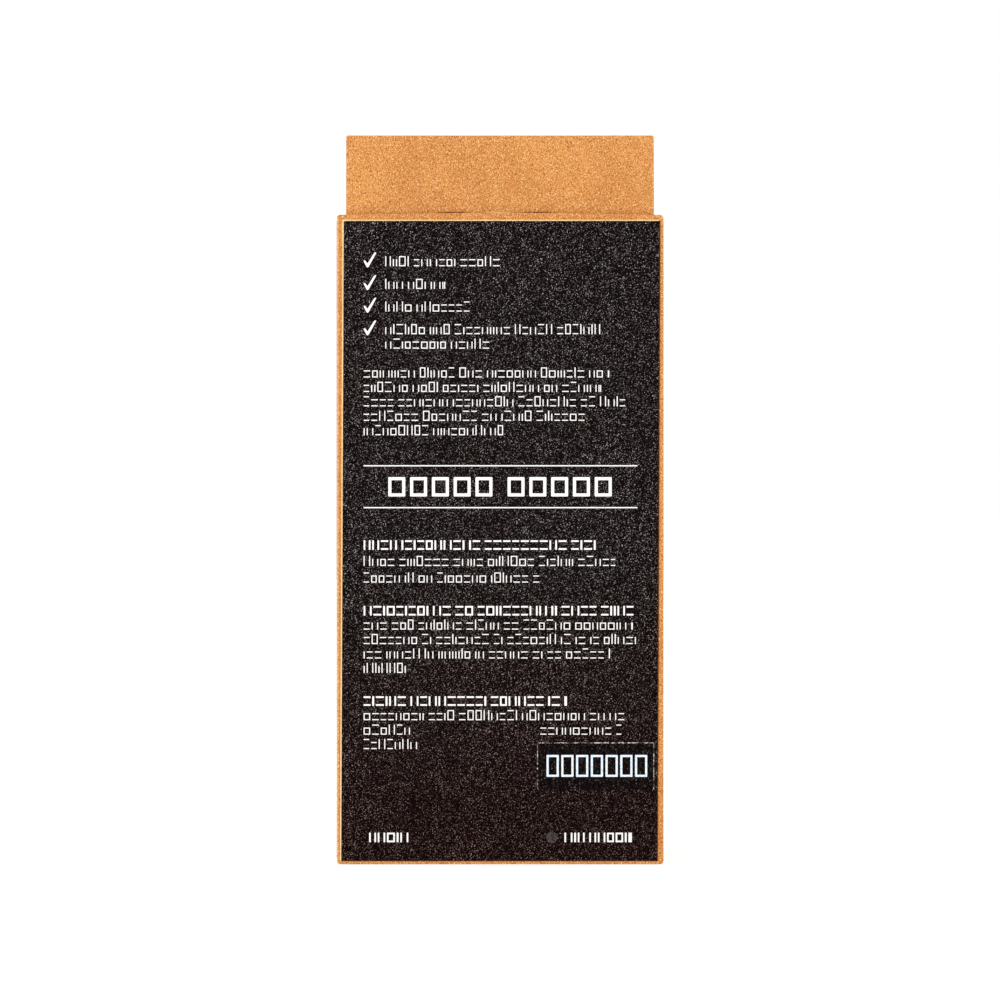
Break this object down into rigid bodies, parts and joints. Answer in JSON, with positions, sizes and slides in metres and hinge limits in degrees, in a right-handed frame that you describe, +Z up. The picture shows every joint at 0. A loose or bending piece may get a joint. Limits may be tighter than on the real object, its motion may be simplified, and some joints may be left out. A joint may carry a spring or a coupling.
{
  "type": "boxed beard brush",
  "caption": "Tuck-end kraft carton with a plain header, a black label on its back and a window in its front, holding an oval wooden beard brush in a card cradle.",
  "frame": {"origin": "middle of the underside of the object's box", "axes": "+Z up, the labelled back faces -Y, the bristles and the window face +Y"},
  "size_m": [0.065, 0.0384, 0.1449],
  "materials": {
    "kraft": "uncoated brown kraft board with fine fibre flecks",
    "label": "matte black print with fine pale speckles and white print",
    "print": "white print on the label and the sticker",
    "sticker": "slightly glossy dark sticker",
    "card": "uncoated brown insert card",
    "wood": "satin varnished beech",
    "bristle": "dark natural bristle with paler tips"
  },
  "bodies": {
    "carton": {"back_panel": "kraft", "hanger_panel": "kraft", "front_panel": "kraft", "left_side_panel": "kraft", "right_side_panel": "kraft", "back_label": "label", "lot_sticker": "sticker", "cradle_back_wall": "card", "cradle_left_wing": "card", "cradle_right_wing": "card", "cradle_top_shelf": "card", "cradle_top_leg": "card", "cradle_bottom_shelf": "card", "cradle_bottom_leg": "card", "brush_body": "wood", "bristle_row_1": "bristle", "bristle_row_2": "bristle", "bristle_row_3": "bristle", "bristle_row_4": "bristle", "bristle_row_5": "bristle", "bristle_row_6": "bristle", "bristle_row_7": "bristle", "bristle_row_8": "bristle", "bristle_row_9": "bristle"},
    "top_lid": {"top_lid": "kraft"},
    "top_tuck": {"top_tuck_flap": "kraft"},
    "top_dust_left": {"top_dust_flap_left": "kraft"},
    "top_dust_right": {"top_dust_flap_right": "kraft"},
    "bottom_lid": {"bottom_lid": "kraft"},
    "bottom_tuck": {"bottom_tuck_flap": "kraft"},
    "bottom_dust_left": {"bottom_dust_flap_left": "kraft"},
    "bottom_dust_right": {"bottom_dust_flap_right": "kraft"}
  },
  "joints": [
    {"name": "top_lid_hinge", "type": "hinge", "parent": "carton", "child": "top_lid", "pos_m": [0, 0.01915, 0.1285], "axis": [-1, 0, 0], "range_deg": [0, 150]},
    {"name": "top_tuck_hinge", "type": "hinge", "parent": "top_lid", "child": "top_tuck", "pos_m": [0, -0.01755, 0.1285], "axis": [-1, 0, 0], "range_deg": [-30, 8]},
    {"name": "top_dust_left_hinge", "type": "hinge", "parent": "carton", "child": "top_dust_left", "pos_m": [-0.0325, 0.00015, 0.1279], "axis": [0, -1, 0], "range_deg": [0, 120]},
    {"name": "top_dust_right_hinge", "type": "hinge", "parent": "carton", "child": "top_dust_right", "pos_m": [0.0325, 0.00015, 0.1279], "axis": [0, 1, 0], "range_deg": [0, 120]},
    {"name": "bottom_lid_hinge", "type": "hinge", "parent": "carton", "child": "bottom_lid", "pos_m": [0, 0.01915, 0.0005], "axis": [1, 0, 0], "range_deg": [0, 150]},
    {"name": "bottom_tuck_hinge", "type": "hinge", "parent": "bottom_lid", "child": "bottom_tuck", "pos_m": [0, -0.01755, 0.0005], "axis": [1, 0, 0], "range_deg": [-30, 8]},
    {"name": "bottom_dust_left_hinge", "type": "hinge", "parent": "carton", "child": "bottom_dust_left", "pos_m": [-0.0325, 0.00015, 0.0011], "axis": [0, 1, 0], "range_deg": [0, 120]},
    {"name": "bottom_dust_right_hinge", "type": "hinge", "parent": "carton", "child": "bottom_dust_right", "pos_m": [0.0325, 0.00015, 0.0011], "axis": [0, -1, 0], "range_deg": [0, 120]}
  ],
  "couplings": [
    {"joint": "top_dust_left_hinge", "follows": "top_lid_hinge", "ratio": 0.8},
    {"joint": "top_dust_right_hinge", "follows": "top_lid_hinge", "ratio": 0.8},
    {"joint": "bottom_dust_left_hinge", "follows": "bottom_lid_hinge", "ratio": 0.8},
    {"joint": "bottom_dust_right_hinge", "follows": "bottom_lid_hinge", "ratio": 0.8}
  ]
}
